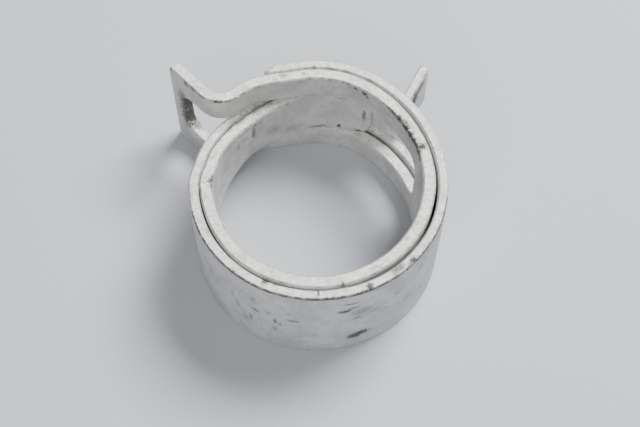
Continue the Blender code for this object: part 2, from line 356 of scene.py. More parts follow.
def shoulder_edge(path):
    """Points of the upper edge, from the tongue's even part to the full height."""
    low, high = path.length_at(TAPER_START), path.length_at(SHOULDER_END)
    shoulder = path.length_at(SHOULDER_START)
    taper_end = path.length_at(TAPER_END)
    count = round((SHOULDER_END - TAPER_START) / SHOULDER_STEP)
    points = []
    for i in range(count + 1):
        s = low + (high - low) * i / count
        inset = SHOULDER_INSET * ease(s, high, shoulder) + TAPER_INSET * ease(s, taper_end, low)
        points.append((s, BAND_HEIGHT - inset))
    return points


def half_outline(path, tip_radius, window_end, end_outline):
    """The upper half of a flat strip, as points (length, height) in order: the tip's corner, the
    upper edge, the far end, then back along the window's edge to the middle."""
    middle = BAND_HEIGHT / 2
    tongue_top = BAND_HEIGHT - SHOULDER_INSET - TAPER_INSET
    points = [(0.0, middle)]
    points += arc((tip_radius, tongue_top - tip_radius), tip_radius, 180, 90)
    points += shoulder_edge(path)
    points += end_outline
    window_top = BAND_HEIGHT - WINDOW_LOW
    start = path.length_at(WINDOW_START)
    if window_end is not None:
        corner = (window_end - WINDOW_CORNER, window_top - WINDOW_CORNER)
        points += [(window_end, middle)] + arc(corner, WINDOW_CORNER, 0, 90)
    points += arc((start + WINDOW_CORNER, window_top - WINDOW_CORNER), WINDOW_CORNER, 90, 180)
    return points + [(start, middle)]


def outer_outline(path):
    """Upper half of the outer strip, which ends in a prong."""
    end = path.lengths[-1]
    r = PRONG_CORNER
    low = BAND_HEIGHT - WINDOW_LOW
    prong = arc((end - r, BAND_HEIGHT - r), r, 90, 0) + arc((end - r, low + r), r, 0, -90)
    return half_outline(path, TANG_CORNER, None, prong)


def inner_outline(path):
    """Upper half of the inner strip, which ends in the windowed tang."""
    end = path.lengths[-1]
    r = TANG_CORNER
    tip = arc((end - r, BAND_HEIGHT - r), r, 90, 0) + [(end, BAND_HEIGHT / 2)]
    return half_outline(path, TONGUE_CORNER, end - CROSSBAR_WIDTH, tip)


def tidy_points(points):
    """The points without those that nearly coincide with the one before."""
    kept = [points[0]]
    for p in points[1:]:
        if math.dist(p, kept[-1]) > SHORTEST_STEP:
            kept.append(p)
    return kept


def mirror_half(mesh):
    """Completes the upper half of a strip with its mirror image below."""
    middle = BAND_HEIGHT / 2
    on_middle = [f for f in mesh.faces if all(abs(v.co.z - middle) < SAME_PLACE for v in f.verts)]
    bmesh.ops.delete(mesh, geom=on_middle, context="FACES_ONLY")
    both = bmesh.ops.duplicate(mesh, geom=mesh.verts[:] + mesh.edges[:] + mesh.faces[:])
    copied = [v for v in both["geom"] if isinstance(v, bmesh.types.BMVert)]
    for v in copied:
        v.co.z = BAND_HEIGHT - v.co.z
    bmesh.ops.remove_doubles(mesh, verts=mesh.verts, dist=SAME_PLACE)
    bmesh.ops.recalc_face_normals(mesh, faces=mesh.faces)


def rim_edges(mesh):
    """The edges between a strip's two wide faces and the narrow ones round it."""
    rim = []
    for edge in mesh.edges:
        a, b = edge.verts
        wide = [f for f in edge.link_faces if abs(f.normal.y) > WIDE_FACE]
        level = abs(a.co.y - b.co.y) < SAME_PLACE
        if level and len(edge.link_faces) == 2 and len(wide) == 1:
            rim.append(edge)
    return rim


def flat_strip(outline, thickness):
    """A solid flat strip in (length, thickness, height), made from the outline of its upper half,
    with rounded edges."""
    mesh = bmesh.new()
    base = [mesh.verts.new((s, -thickness / 2, h)) for s, h in tidy_points(outline)]
    face = mesh.faces.new(base)
    grown = bmesh.ops.extrude_face_region(mesh, geom=[face])
    moved = [v for v in grown["geom"] if isinstance(v, bmesh.types.BMVert)]
    bmesh.ops.translate(mesh, verts=moved, vec=(0, thickness, 0))
    mirror_half(mesh)
    bmesh.ops.bevel(mesh, geom=rim_edges(mesh), offset=EDGE_ROUNDING, segments=EDGE_SEGMENTS,
                    profile=0.5, affect="EDGES", clamp_overlap=True)
    return mesh


def shape_rails(mesh, path):
    """Thins the outer strip's prongs towards their ends, and lets its lower rail stand out."""
    end = path.lengths[-1]
    rise = [path.length_at(angle) for angle in LOWER_BULGE_RISE]
    fall = [path.length_at(angle) for angle in LOWER_BULGE_FALL]
    for v in mesh.verts:
        s = v.co.x
        if v.co.y > 0:
            v.co.y -= PRONG_TIP_LOSS * ease(s, end - PRONG_TAPER, end) * v.co.y / OUTER_HALF
        if v.co.z < BAND_HEIGHT / 2:
            v.co.y += LOWER_BULGE * ease(s, *rise) * ease(s, *fall)


def cut_across(mesh, point, normal):
    """Cuts every face that the plane crosses in two."""
    geometry = mesh.verts[:] + mesh.edges[:] + mesh.faces[:]
    bmesh.ops.bisect_plane(mesh, geom=geometry, dist=SAME_PLACE, plane_co=point, plane_no=normal)


def grid_strip(mesh, path, slices):
    """Cuts a flat strip into small faces, so that it can bend smoothly."""
    for i in range(1, int(BAND_HEIGHT / HEIGHT_STEP)):
        cut_across(mesh, (0, 0, i * HEIGHT_STEP), (0, 0, 1))
    lengths = sorted([*path.lengths[1:-1], *slices])
    last = 0.0
    for s in lengths:
        if s in slices or s - last > SHORTEST_STEP:
            cut_across(mesh, (s, 0, 0), (1, 0, 0))
            last = s


def smooth_normal(vertex):
    """The mean direction of the faces at a vertex, where a large face counts for more."""
    total = Vector((0, 0, 0))
    for face in vertex.link_faces:
        total += face.normal * face.calc_area()
    return total.normalized()


def edge_mask(normal):
    """1 in the middle of a rounded edge, 0 on flat faces."""
    flatness = max(abs(normal.y), math.hypot(normal.x, normal.z))
    return (1 - flatness) / (1 - math.sqrt(0.5))


def rim_mask(normal):
    """1 on the narrow faces all round a strip, 0 on its two wide ones."""
    return 1.0 - abs(normal.y)


def bend_point(path, flat):
    """Place on the bent strip of a point of the flat one."""
    (x, y), (nx, ny) = path.place(min(max(flat.x, 0.0), path.lengths[-1]))
    return Vector((x + nx * flat.y, y + ny * flat.y, flat.z))


def bend_vector(path, s, vector):
    """A direction of the flat strip, turned as the strip is at that length."""
    _, (nx, ny) = path.place(min(max(s, 0.0), path.lengths[-1]))
    along = Vector((-ny, nx, 0))
    return along * vector.x + Vector((nx, ny, 0)) * vector.y + Vector((0, 0, vector.z))


def waves(point):
    """Slight unevenness of the sheet."""
    return WAVE_DEPTH * noise.noise(point / WAVE_SIZE)


def hollow(point, edge, spots):
    """How deep the surface is nicked along its edges and dented under the strongest spots, chips and
    painted shade alike.
    """
    nick = max(0.0, noise.noise(point / NICK_SIZE)) * NICK_DEPTH * edge
    dent = 0.0
    for centre, half_size, strength in spots:
        if strength < DENT_STRENGTH or abs(point.x * MM - centre[0]) > half_size[0]:
            continue
        away = [(MM * a - b) / h for a, b, h in zip(point, centre, half_size)]
        dent = max(dent, 1.0 - sum(a * a for a in away))
    return nick + DENT_DEPTH * dent


# ---------------------------------------------------------------- pieces

class Strip:
    """A flat strip that is cut into small faces, and what its bent pieces take from it."""

    def __init__(self, path, mesh, spots, material):
        mesh.verts.index_update()
        mesh.normal_update()
        self.path = path
        self.mesh = mesh
        self.spots = spots
        self.material = material
        self.normals = [smooth_normal(v) for v in mesh.verts]


def copy_piece(strip, start, end):
    """The faces of a flat strip between two lengths, and the numbers of the vertices they copy."""
    mesh = bmesh.new()
    made = {}
    for face in strip.mesh.faces:
        middle = sum(v.co.x for v in face.verts) / len(face.verts)
        if start < middle < end:
            for v in face.verts:
                if v.index not in made:
                    made[v.index] = mesh.verts.new(v.co)
            mesh.faces.new([made[v.index] for v in face.verts])
    return mesh, list(made)


def cap_cuts(mesh):
    """Closes the open ends that slicing leaves, with flat faces beside the smooth ones."""
    sliced_faces = len(mesh.faces)
    open_edges = [e for e in mesh.edges if len(e.link_faces) == 1]
    bmesh.ops.holes_fill(mesh, edges=open_edges, sides=0)
    mesh.verts.index_update()
    mesh.faces.index_update()
    for f in mesh.faces:
        f.smooth = f.index < sliced_faces


def bend_piece(strip, mesh, normals):
    """Wears a piece's surface, bends it along the strip's path and turns its faces outward.
    Gives its vertices' places on the flat strip and on the bent one."""
    flats = [v.co.copy() for v in mesh.verts]
    bent = []
    for p, normal in zip(flats, normals):
        worn = p - normal * hollow(p, edge_mask(normal), strip.spots)
        bent.append(bend_point(strip.path, Vector((worn.x, worn.y + waves(p), worn.z))))
    for v, p in zip(mesh.verts, bent):
        v.co = p
    bmesh.ops.recalc_face_normals(mesh, faces=mesh.faces)
    if mesh.calc_volume(signed=True) < 0:
        bmesh.ops.reverse_faces(mesh, faces=mesh.faces)
    mesh.normal_update()
    return flats, bent


def corner_normals(path, data, flats, normals):
    """The normal at every face corner: smooth over the strip, and flat on the closed cuts."""
    found = []
    for polygon in data.polygons:
        for corner in polygon.loop_indices:
            v = data.loops[corner].vertex_index
            if polygon.use_smooth:
                found.append(bend_vector(path, flats[v].x, normals[v]))
            else:
                found.append(polygon.normal)
    return found


def store_vectors(data, name, vectors):
    """Keeps one vector for each vertex, which the materials read."""
    attribute = data.attributes.new(name, "FLOAT_VECTOR", "POINT")
    attribute.data.foreach_set("vector", [c for v in vectors for c in v])


def store_numbers(data, name, numbers):
    """Keeps one number for each vertex, which the materials read."""
    attribute = data.attributes.new(name, "FLOAT", "POINT")
    attribute.data.foreach_set("value", numbers)


def make_piece(strip, name, start, end):
    """One piece of a strip between two lengths, bent and closed, as an object."""
    mesh, copied = copy_piece(strip, start, end)
    normals = [strip.normals[index] for index in copied]
    cap_cuts(mesh)
    flats, bent = bend_piece(strip, mesh, normals)
    data = bpy.data.meshes.new(name)
    mesh.to_mesh(data)
    mesh.free()
    store_vectors(data, "rest", bent)
    store_vectors(data, "strip", flats)
    store_numbers(data, "edge", [edge_mask(m) for m in normals])
    store_numbers(data, "rim", [rim_mask(m) for m in normals])
    data.normals_split_custom_set(corner_normals(strip.path, data, flats, normals))
    data.materials.append(strip.material)
    thing = bpy.data.objects.new(name, data)
    bpy.context.scene.collection.objects.link(thing)
    return thing


def segment_middles():
    """Angles of the stiff lengths' middles, from the last on the left to the last on the right."""
    left = [LEFT_LAST, *reversed(LEFT_CUTS.values())]
    right = [*RIGHT_CUTS.values(), RIGHT_LAST]
    edges = left + right
    return [(a + b) / 2 for a, b in zip(edges, edges[1:])]


def band_nodes(band, body):
    """The CAD nodes of one strip on one body."""
    special = {"narrow_tang": "outer", "windowed_tang": "inner"}
    names = frame["record"]["behaviour"]["bodies"][body]
    return [n for n in names if special.get(n, n.split("_")[0]) == band]


def make_band(band, path, outline, thickness, labels, spots, material):
    """All the pieces of one strip. Each crosses one hinge, from one stiff length's middle to the
    next one's, and stands for the strip's solids on the body that the hinge carries."""
    middles = segment_middles()
    slices = [path.length_at(middles[i]) for i in range(1, len(labels))]
    flat = flat_strip(outline, thickness)
    grid_strip(flat, path, slices)
    if band == "outer":
        shape_rails(flat, path)
    strip = Strip(path, flat, spots, material)
    ends = [-math.inf, *slices, math.inf]
    for i, label in enumerate(labels):
        thing = make_piece(strip, f"{band}_strip_{label}", ends[i], ends[i + 1])
        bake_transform(thing)
        carried = [BODIES[i]] if i < FRONT else [BODIES[i + 1]]
        if i == FRONT - 1:
            carried.append("front")
        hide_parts(*[n for body in carried for n in band_nodes(band, body)])
    flat.free()


# ---------------------------------------------------------------- materials

OUTER_PALE = (0.60, 0.60, 0.61, 1)
OUTER_DULL = (0.47, 0.47, 0.49, 1)
INNER_PALE = (0.60, 0.595, 0.585, 1)
INNER_DULL = (0.45, 0.445, 0.44, 1)
CUT_EDGE = (0.87, 0.85, 0.76, 1)
CUT_EDGE_DULL = (0.50, 0.485, 0.43, 1)
DULL_FLAKES = (0.34, 0.34, 0.35, 1)
ROLLED_STREAKS = (0.34, 0.34, 0.34, 1)
BRIGHT_GRAIN = (0.98, 0.97, 0.91, 1)
BROWN_STAIN = (0.36, 0.32, 0.27, 1)
GREY_SMUDGES = (0.20, 0.20, 0.205, 1)
# Bare steel, whose dark colour also paints the shade in the crevices and down the narrow tang
BARE_STEEL_AND_PAINTED_SHADE = (0.035, 0.033, 0.031, 1)
WORN_STEEL = (0.135, 0.122, 0.105, 1)

METALLIC = 0.1
SPECULAR = 0.35
ROUGHNESS = 0.52
ROUGHNESS_CHANGE = 0.2

# How far to the side the inner strip takes its noises, in millimetres, so that the strips differ
INNER_SHIFT = 50

# The coating's noises: scale per millimetre, detail and roughness
NOISES = {
    "grain": (6.0, 4.0, 0.7),
    "flakes": (2.0, 5.0, 0.65),
    "clouds": (0.3, 4.0, 0.6),
    "lumps": (1.5, 5.0, 0.75),
    "stains": (0.55, 5.0, 0.7),
    "smudges": (0.8, 6.0, 0.8),
    "ragged": (3.6, 5.0, 0.8),
    "pits": (1.3, 3.0, 0.6),
    "wear": (1.4, 5.0, 0.8),
}
ROLLING = (1.1, 4.0, 0.6)
ROLLING_STRETCH = (0.12, 1.0, 1.6)

# Patches in the order that they are laid on: their noise, the values of it where they begin and
# are full, how much they cover there, and their colour
CUT_EDGE_PATCHES = [
    ("lumps", 0.48, 0.38, 0.7, CUT_EDGE_DULL),
    ("lumps", 0.50, 0.60, 1.0, BRIGHT_GRAIN),
]
PATCHES = [
    ("flakes", 0.48, 0.68, 0.42, DULL_FLAKES),
    ("rolling", 0.52, 0.75, 0.25, ROLLED_STREAKS),
    ("grain", 0.50, 0.80, 0.45, BRIGHT_GRAIN),
    ("stains", 0.56, 0.74, 0.35, BROWN_STAIN),
    ("smudges", 0.56, 0.72, 0.45, GREY_SMUDGES),
]

# Values where other parts begin and are full, and how much they cover where a third is given
CLOUDS_SHOWN = (0.36, 0.66)
CUT_EDGE_SHOWN = (0.5, 0.95)
CUT_EDGE_SHARE = 0.8
PITS_SHOWN = (0.71, 0.75, 0.6)
WEAR_SHOWN = (0.52, 0.62)
WEAR_ON_EDGE = (0.2, 0.6, 0.85)
WORN_STEEL_SHOWN = (0.4, 0.62)
SPOT_SHOWN = (1.25, 0.45)
SPOT_RAGGEDNESS = 3.4

# Heights of the fine relief, in millimetres
RELIEF = {"grain": 0.018, "flakes": 0.07, "rolling": 0.03}
CUT_EDGE_RELIEF = 0.16
BARE_DEPTH = 0.04
RELIEF_UNIT = 0.001


class Nodes:
    """Short ways to add and link shader nodes."""

    def __init__(self, tree):
        self.tree = tree

    def add(self, kind, settings=None, **inputs):
        """Adds a node. Settings are its properties, and inputs are values or outputs to link."""
        node = self.tree.nodes.new(kind)
        for key, value in (settings or {}).items():
            setattr(node, key, value)
        for key, value in inputs.items():
            self.put(node, key, value)
        return node

    def put(self, node, key, value):
        """Sets or links one input, named as its label in lower case or by its number."""
        if key[0] == "i" and key[1:].isdigit():
            socket = node.inputs[int(key[1:])]
        else:
            socket = next(s for s in node.inputs if s.name.lower().replace(" ", "_") == key)
        if isinstance(value, bpy.types.NodeSocket):
            self.tree.links.new(value, socket)
        else:
            socket.default_value = value

    def attribute(self, name, output):
        """A value kept for each vertex: its output is Vector, or Fac for a number."""
        return self.add("ShaderNodeAttribute", {"attribute_name": name}).outputs[output]

    def math(self, operation, a, b):
        """The result of a number operation."""
        return self.add("ShaderNodeMath", {"operation": operation}, i0=a, i1=b).outputs[0]

    def vector(self, operation, a, b):
        """The result of a vector operation."""
        node = self.add("ShaderNodeVectorMath", {"operation": operation}, i0=a, i1=b)
        return node.outputs["Value" if operation == "LENGTH" else "Vector"]

    def step(self, value, begin, full):
        """0 up to begin, 1 from full on, and a smooth rise between them."""
        node = self.add("ShaderNodeMapRange", {"interpolation_type": "SMOOTHSTEP"}, value=value,
                        from_min=begin, from_max=full)
        return node.outputs[0]

    def cover(self, value, begin, full, share):
        """0 up to begin, the share from full on, and a smooth rise between them."""
        return self.math("MULTIPLY", self.step(value, begin, full), share)

    def mix(self, factor, a, b):
        """A mix of two colours."""
        node = self.add("ShaderNodeMix", {"data_type": "RGBA"}, i0=factor, i6=a, i7=b)
        return node.outputs[2]

    def noise(self, place, scale, detail, roughness):
        """A noise between about 0 and 1."""
        node = self.add("ShaderNodeTexNoise", vector=place, scale=scale, detail=detail,
                        roughness=roughness)
        return node.outputs[0]


def spot_group():
    """A node group: 1 inside an ellipsoid with a ragged outline, 0 outside."""
    tree = bpy.data.node_groups.new("ragged_spot", "ShaderNodeTree")
    for name, kind in (("Place", "NodeSocketVector"), ("Centre", "NodeSocketVector"),
                       ("Shrink", "NodeSocketVector"), ("Ragged", "NodeSocketFloat"),
                       ("Strength", "NodeSocketFloat"), ("Before", "NodeSocketFloat")):
        tree.interface.new_socket(name, in_out="INPUT", socket_type=kind)
    tree.interface.new_socket("After", in_out="OUTPUT", socket_type="NodeSocketFloat")
    n = Nodes(tree)
    given = n.add("NodeGroupInput").outputs
    away = n.vector("SUBTRACT", given["Place"], given["Centre"])
    distance = n.vector("LENGTH", n.vector("MULTIPLY", away, given["Shrink"]), (0, 0, 0))
    inside = n.step(n.math("ADD", distance, given["Ragged"]), *SPOT_SHOWN)
    amount = n.math("MULTIPLY", inside, given["Strength"])
    out = n.add("NodeGroupOutput")
    tree.links.new(n.math("MAXIMUM", amount, given["Before"]), out.inputs[0])
    return tree


def add_spots(n, spots, place, ragged, group):
    """The largest of a list of spots, each given as its centre, its half sizes and its strength,
    all in millimetres of the flat strip."""
    amount = 0.0
    for centre, half_size, strength in spots:
        node = n.tree.nodes.new("ShaderNodeGroup")
        node.node_tree = group
        shrink = tuple(1 / h for h in half_size)
        for key, value in (("place", place), ("centre", centre), ("shrink", shrink),
                           ("ragged", ragged), ("strength", strength), ("before", amount)):
            n.put(node, key, value)
        amount = node.outputs[0]
    return amount


def coating_noises(n, flat, shift):
    """The coating's noises by name. The rolling marks are stretched along the strip."""
    place = n.vector("MULTIPLY", n.attribute("rest", "Vector"), (MM, MM, MM))
    place = n.vector("ADD", place, (shift, 0, 0))
    found = {name: n.noise(place, *kind) for name, kind in NOISES.items()}
    found["rolling"] = n.noise(n.vector("MULTIPLY", flat, ROLLING_STRETCH), *ROLLING)
    return found


def coat_colour(n, noises, cut_edge, pale, dull):
    """Pale grey with cloudy patches, yellowish speckled cut edges, flakes, streaks and stains."""
    colour = n.mix(n.step(noises["clouds"], *CLOUDS_SHOWN), dull, pale)
    colour = n.mix(n.math("MULTIPLY", cut_edge, CUT_EDGE_SHARE), colour, CUT_EDGE)
    for name, begin, full, share, patch in CUT_EDGE_PATCHES:
        shown = n.math("MULTIPLY", cut_edge, n.cover(noises[name], begin, full, share))
        colour = n.mix(shown, colour, patch)
    for name, begin, full, share, patch in PATCHES:
        colour = n.mix(n.cover(noises[name], begin, full, share), colour, patch)
    return colour


def bare_and_shaded_parts(n, noises, flat, spots, group):
    """How far the coating is gone, in the chips, in pits, and where the rounded edges are worn, and
    where the spots paint shade in crevices and down the narrow tang.
    """
    ragged = n.math("MULTIPLY", n.math("SUBTRACT", noises["ragged"], 0.5), SPOT_RAGGEDNESS)
    chips = add_spots(n, spots, flat, ragged, group)
    pits = n.cover(noises["pits"], *PITS_SHOWN)
    on_edge = n.cover(n.attribute("edge", "Fac"), *WEAR_ON_EDGE)
    worn = n.math("MULTIPLY", n.step(noises["wear"], *WEAR_SHOWN), on_edge)
    return n.math("MAXIMUM", chips, n.math("MAXIMUM", pits, worn))


def relief(n, noises, cut_edge, bare_and_shaded):
    """Height of the coating's unevenness: lumps on the cut edges, and hollows where it is gone and
    where shade is painted.
    """
    height = n.math("MULTIPLY", n.math("MULTIPLY", cut_edge, noises["lumps"]), CUT_EDGE_RELIEF)
    for name, depth in RELIEF.items():
        height = n.math("ADD", height, n.math("MULTIPLY", noises[name], depth))
    return n.math("SUBTRACT", height, n.math("MULTIPLY", bare_and_shaded, BARE_DEPTH))


def coating(name, spots, group, pale, dull, shift):
    """Matt zinc flake coating with the given chips, over bare steel, whose dark colour also paints
    the shade given among the spots.
    """
    material = bpy.data.materials.new(name)
    material.use_nodes = True
    n = Nodes(material.node_tree)
    shader = material.node_tree.nodes["Principled BSDF"]
    flat = n.vector("MULTIPLY", n.attribute("strip", "Vector"), (MM, MM, MM))
    noises = coating_noises(n, flat, shift)
    cut_edge = n.step(n.attribute("rim", "Fac"), *CUT_EDGE_SHOWN)
    bare_and_shaded = bare_and_shaded_parts(n, noises, flat, spots, group)
    coat = coat_colour(n, noises, cut_edge, pale, dull)
    steel_and_shade = n.mix(n.step(noises["grain"], *WORN_STEEL_SHOWN), BARE_STEEL_AND_PAINTED_SHADE, WORN_STEEL)
    n.put(shader, "base_color", n.mix(bare_and_shaded, coat, steel_and_shade))
    change = n.math("MULTIPLY", noises["clouds"], ROUGHNESS_CHANGE)
    n.put(shader, "roughness", n.math("ADD", ROUGHNESS, change))
    shader.inputs["Metallic"].default_value = METALLIC
    shader.inputs["Specular IOR Level"].default_value = SPECULAR
    height = relief(n, noises, cut_edge, bare_and_shaded)
    bump = n.add("ShaderNodeBump", height=height, distance=RELIEF_UNIT, strength=1.0)
    n.put(shader, "normal", bump.outputs[0])
    return material


# ---------------------------------------------------------------- chips in the coating, and painted shade drawn like them

# Places across and up the strips, and how deep a mark on a wide face reaches, in millimetres
TOP = BAND_HEIGHT * MM
TONGUE_TOP = (BAND_HEIGHT - SHOULDER_INSET - TAPER_INSET) * MM
OUTER_FACE = OUTER_HALF * MM
INNER_FACE = -INNER_THICKNESS / 2 * MM
OUTER_SKIN = 0.25
INNER_SKIN = 0.3

# Worn line along the outer strip's upper edge, with dashes of uneven length
WORN_LINE_ANGLES = range(203, 352, 6)
WORN_LINE_INSET = 0.1
DASH_HALF_LENGTH = 0.55
DASH_CHANGE = 0.75
DASH_TURNS = 7
DASH_THICKNESS = (0.22, 0.27)
DASH_STRENGTH = 0.9


def spot(path, angle, across, height, size, strength):
    """A chip at an angle round the ring. Across and height are in millimetres, and across is
    measured outward from the strip's middle. Size is half of it, (along, across, height)."""
    return ((path.length_at(angle) * MM, across, height), size, strength)


def face_marks(path, face, skin, marks):
    """Marks on a wide face, each an angle, a height, half a length, half a height and a strength."""
    return [spot(path, angle, face, height, (half_length, skin, half_height), strength)
            for angle, height, half_length, half_height, strength in marks]


def edge_nicks(path, across, nicks):
    """Nicks along an upper edge, each an angle, half its size and a strength."""
    return [spot(path, angle, across, TOP, size, strength) for angle, size, strength in nicks]


def front_wall_marks(path):
    """Dark strokes right of the front's middle, and small marks left of it."""
    right = [
        (287.2, 3.15, 0.95, 0.78, 1.0),
        (290.4, 3.5, 0.95, 0.75, 1.0),
        (282.3, 11.0, 0.85, 0.42, 0.9),
        (285.5, 11.5, 0.7, 0.28, 0.75),
        (284.6, 12.8, 1.0, 0.28, 0.6),
        (289.7, 9.9, 1.2, 0.9, 0.42),
        (288.0, 8.5, 0.6, 0.35, 0.55),
        (295.5, 8.9, 0.9, 0.5, 0.25),
        (300.5, 7.8, 0.7, 0.5, 0.25),
        (306.0, 10.2, 0.4, 0.9, 0.3),
        (313.0, 6.8, 0.35, 1.3, 0.25),
        (320.0, 11.9, 0.35, 0.8, 0.3),
    ]
    left = [
        (243.2, 10.9, 0.3, 0.9, 0.35),
        (244.0, 8.3, 0.55, 0.5, 0.6),
        (241.5, 5.6, 0.25, 0.9, 0.5),
        (239.0, 4.6, 0.3, 0.5, 0.4),
        (250.0, 9.0, 0.35, 0.5, 0.45),
        (253.0, 7.3, 0.25, 0.75, 0.75),
        (252.8, 5.0, 0.28, 0.8, 0.45),
        (255.2, 6.7, 0.28, 0.45, 0.5),
        (260.8, 8.5, 0.75, 0.34, 0.6),
        (259.0, 10.3, 0.4, 0.3, 0.3),
        (232.5, 9.0, 0.3, 1.2, 0.3),
        (235.0, 7.2, 0.25, 1.1, 0.3),
        (269.5, 5.3, 0.45, 0.7, 0.25),
        (218.0, 9.0, 0.3, 1.6, 0.2),
    ]
    return face_marks(path, OUTER_FACE, OUTER_SKIN, right + left)


def worn_line(path):
    """Dashes along the outer strip's upper outer edge."""
    height = TOP - WORN_LINE_INSET
    chips = []
    for angle in WORN_LINE_ANGLES:
        half_length = DASH_HALF_LENGTH + DASH_CHANGE * abs(math.sin(DASH_TURNS * angle))
        size = (half_length, *DASH_THICKNESS)
        chips.append(spot(path, angle, OUTER_FACE, height, size, DASH_STRENGTH))
    return chips


def outer_edge_nicks(path):
    """Nicks of the outer strip's upper edges, and marks across the narrow face between them."""
    outside = [
        (255.5, (0.7, 0.22, 0.30), 0.8),
        (245.0, (0.6, 0.25, 0.30), 0.85),
        (267.0, (0.35, 0.2, 0.40), 0.9),
        (270.0, (0.3, 0.2, 0.35), 0.8),
        (277.6, (0.65, 0.28, 0.45), 0.95),
        (288.0, (1.1, 0.25, 0.32), 1.0),
        (291.0, (0.8, 0.3, 0.35), 0.95),
        (299.0, (0.6, 0.2, 0.28), 0.6),
        (322.0, (0.5, 0.2, 0.3), 0.5),
        (336.0, (0.6, 0.2, 0.3), 0.5),
        (219.0, (0.8, 0.22, 0.30), 0.8),
        (225.5, (0.9, 0.2, 0.30), 0.75),
        (233.0, (1.2, 0.22, 0.30), 0.8),
        (206.0, (0.9, 0.2, 0.30), 0.6),
    ]
    beside_gap = [
        (247.6, (0.5, 0.6, 0.45), 0.95),
        (252.0, (0.3, 0.3, 0.4), 0.6),
        (445.0, (1.2, 0.25, 0.35), 0.6),
        (452.7, (0.4, 0.35, 0.4), 0.75),
        (437.0, (0.7, 0.3, 0.35), 0.6),
        (425.0, (0.9, 0.25, 0.3), 0.6),
    ]
    between = [
        spot(path, 293.0, 0.2, TOP, (0.42, 0.6, 0.45), 0.95),
        spot(path, 307.7, -0.15, TOP, (0.85, 0.5, 0.3), 0.75),
        spot(path, 305.0, 0.1, TOP, (0.35, 0.3, 0.3), 0.5),
        spot(path, 313.2, 0.35, TOP, (0.35, 0.28, 0.3), 0.7),
        spot(path, 315.2, 0.25, TOP, (0.5, 0.4, 0.35), 0.95),
        spot(path, 271.2, -0.2, TOP, (0.16, 0.5, 0.4), 0.85),
        spot(path, 212.0, -0.3, TOP, (0.7, 0.2, 0.2), 0.4),
        spot(path, 192.0, 0.3, TOP, (0.9, 0.2, 0.2), 0.35),
        spot(path, 472.0, 0.2, TOP, (0.35, 0.3, 0.6), 0.5),
    ]
    nicks = edge_nicks(path, OUTER_FACE, outside) + edge_nicks(path, -OUTER_FACE, beside_gap)
    return nicks + between


def narrow_tang_shade_and_nick():
    """Painted shade down the narrow tang's face, drawn as a dark stripe of bare steel colour, and a
    nick at its tip's corner, by length from the tip.
    """
    return [
        ((4.6, -OUTER_FACE, 7.2), (0.6, OUTER_SKIN, 4.2), 0.75),
        ((4.2, -OUTER_FACE, 9.4), (1.1, OUTER_SKIN, 1.9), 1.0),
        ((2.6, -OUTER_FACE, 9.8), (1.5, OUTER_SKIN, 0.9), 0.85),
        ((0.0, 0.4, TONGUE_TOP - 0.2), (0.5, 0.3, 0.5), 0.7),
    ]


def outer_crevice_painted_shade(path):
    """Painted shade on the outer strip in the crevice between the tongue and the rail, drawn as dark
    spots.
    """
    return [spot(path, angle, -OUTER_FACE, TONGUE_TOP + 0.1, (1.4, 0.6, 0.3), 0.6)
            for angle in (116, 124, 132, 140)]


def outer_chips_and_painted_shade(path):
    """All the chips of the outer strip, and its painted shade."""
    wall = front_wall_marks(path) + worn_line(path)
    return wall + outer_edge_nicks(path) + narrow_tang_shade_and_nick() + outer_crevice_painted_shade(path)


def inner_edge_nicks(path):
    """Nicks of the inner strip's upper edges, and marks across the narrow face between them."""
    inside = [
        (405.5, (0.9, 0.3, 0.4), 0.95),
        (403.0, (0.45, 0.35, 0.5), 0.8),
        (399.5, (0.6, 0.6, 0.6), 1.0),
        (393.3, (0.85, 0.65, 0.6), 1.0),
        (388.0, (0.7, 0.5, 0.6), 1.0),
        (383.8, (0.9, 0.45, 0.6), 1.0),
        (380.6, (0.7, 0.5, 0.5), 1.0),
        (376.2, (0.7, 0.45, 0.7), 0.95),
        (412.0, (0.3, 0.2, 0.3), 0.5),
        (434.9, (0.3, 0.2, 0.3), 0.7),
        (437.3, (0.25, 0.2, 0.25), 0.8),
        (444.7, (0.3, 0.2, 0.3), 0.6),
        (455.4, (0.55, 0.22, 0.3), 0.6),
        (473.5, (0.9, 0.18, 0.3), 0.5),
        (481.0, (0.9, 0.18, 0.3), 0.5),
    ]
    beside_gap = [
        (282.3, (0.2, 0.45, 0.4), 0.85),
        (190.0, (0.8, 0.2, 0.3), 0.5),
    ]
    between = [
        spot(path, 396.5, INNER_FACE + 0.25, TOP, (0.5, 0.5, 0.3), 0.8),
        spot(path, 378.4, -0.25, TOP, (0.5, 0.75, 0.3), 1.0),
        spot(path, 378.9, 0.3, TOP, (0.35, 0.4, 0.3), 0.7),
        spot(path, 457.8, 0.0, TOP, (0.25, 0.25, 0.2), 0.6),
        spot(path, 468.5, 0.2, TOP, (0.6, 0.25, 0.2), 0.55),
        spot(path, 248.5, -0.2, TOP, (0.35, 0.2, 0.2), 0.35),
        spot(path, 300.0, 0.1, TOP, (0.3, 0.2, 0.2), 0.3),
        spot(path, 322.0, -0.2, TOP, (0.4, 0.2, 0.2), 0.35),
    ]
    nicks = edge_nicks(path, INNER_FACE, inside) + edge_nicks(path, -INNER_FACE, beside_gap)
    return nicks + between


def inner_rail_marks(path):
    """Marks on the inner face at the right and the far side, just under the upper edge."""
    return face_marks(path, INNER_FACE, INNER_SKIN, [
        (372.5, TOP - 0.3, 0.5, 0.8, 0.6),
        (430.0, TOP - 0.5, 0.28, 0.3, 0.8),
        (424.7, TOP - 0.6, 0.42, 0.42, 0.95),
        (422.8, TOP - 1.0, 0.3, 0.25, 0.75),
    ])


